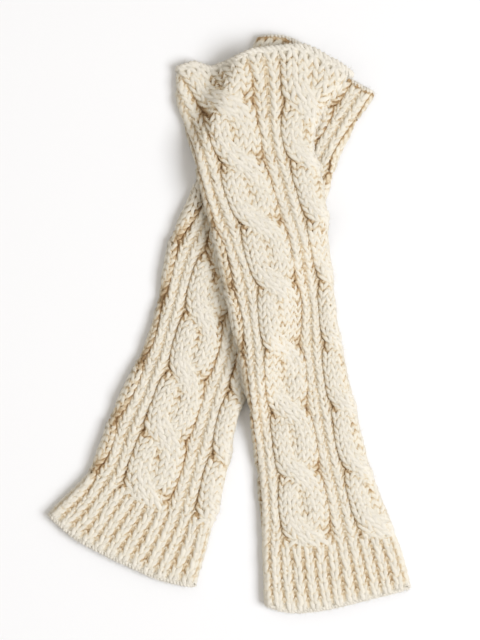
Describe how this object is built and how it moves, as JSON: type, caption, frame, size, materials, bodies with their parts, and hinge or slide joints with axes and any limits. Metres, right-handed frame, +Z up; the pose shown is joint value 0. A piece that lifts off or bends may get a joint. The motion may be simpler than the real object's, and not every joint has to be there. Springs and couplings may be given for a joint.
{
  "type": "pair of leg warmers",
  "caption": "Two long cable-knit wool tubes with ribbed cuffs, lying flat and crossed near their tops, the upper one draped over the lower.",
  "frame": {"origin": "middle of the pair's footprint, on the surface that it lies on", "axes": "+Y along the pair from its hems to its rims, +Z up from the surface, +X to the right seen from above"},
  "size_m": [0.3104, 0.4908, 0.0338],
  "materials": {
    "cream_wool": "soft chunky cream wool, matt and slightly fuzzy"
  },
  "bodies": {
    "root": {"lower_tube": "cream_wool", "lower_cuff": "cream_wool", "upper_tube": "cream_wool", "upper_cuff": "cream_wool"}
  },
  "joints": []
}
